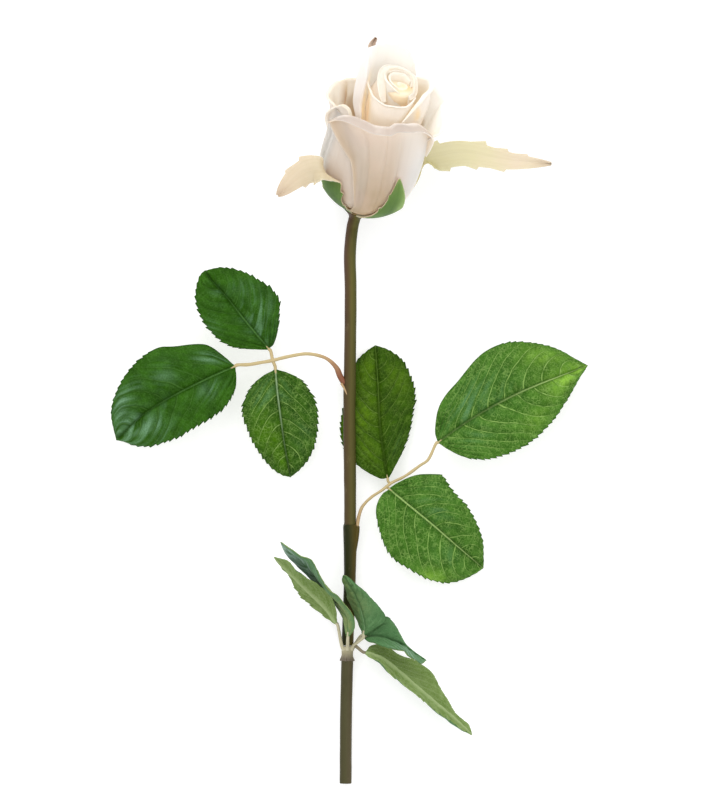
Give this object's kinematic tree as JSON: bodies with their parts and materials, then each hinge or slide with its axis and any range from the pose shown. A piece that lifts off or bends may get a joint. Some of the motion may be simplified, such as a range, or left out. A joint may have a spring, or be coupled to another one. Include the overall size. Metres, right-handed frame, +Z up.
{
  "type": "cut rose",
  "caption": "Long-stemmed rose lying flat: half-open bloom in petal layers, toothed sepals, jointed stem, and serrated leaflets on thin stalks and in a whorl.",
  "frame": {"origin": "centre of the bounding box on the surface that the rose lies on", "axes": "+Y along the stem towards the bloom, +Z up from that surface, +X to the right with the bloom away from the viewer"},
  "size_m": [0.2012, 0.3136, 0.0648],
  "materials": {
    "stem": "satin",
    "sleeve": "satin",
    "hub": "matte",
    "stalk": "matte",
    "leaf_dark": "matte, pressed veins",
    "leaf_light": "matte, printed veins",
    "sepal": "matte, cream lining",
    "petal": "soft matte"
  },
  "bodies": {
    "root": {"stem_upper": "stem", "stem_middle": "sleeve", "stem_lower": "stem", "whorl_hub": "hub", "left_stalk": "stalk", "right_stalk": "stalk", "leaf_left_upper": "leaf_dark", "leaf_left_terminal": "leaf_dark", "leaf_left_lower": "leaf_dark", "leaf_right_upper": "leaf_light", "leaf_right_terminal": "leaf_light", "leaf_right_lower": "leaf_light", "leaf_whorl_left": "leaf_dark", "leaf_whorl_crossing": "leaf_dark", "leaf_whorl_middle": "leaf_dark", "leaf_whorl_right": "leaf_dark", "leaf_whorl_lower": "leaf_dark", "calyx": "sepal", "petal_front": "petal", "petal_back_outer": "petal", "petal_left_outer": "petal", "petal_right_outer": "petal", "petal_left_inner": "petal", "petal_right_inner": "petal", "petal_back_tall": "petal", "bloom_heart": "petal"}
  },
  "joints": []
}
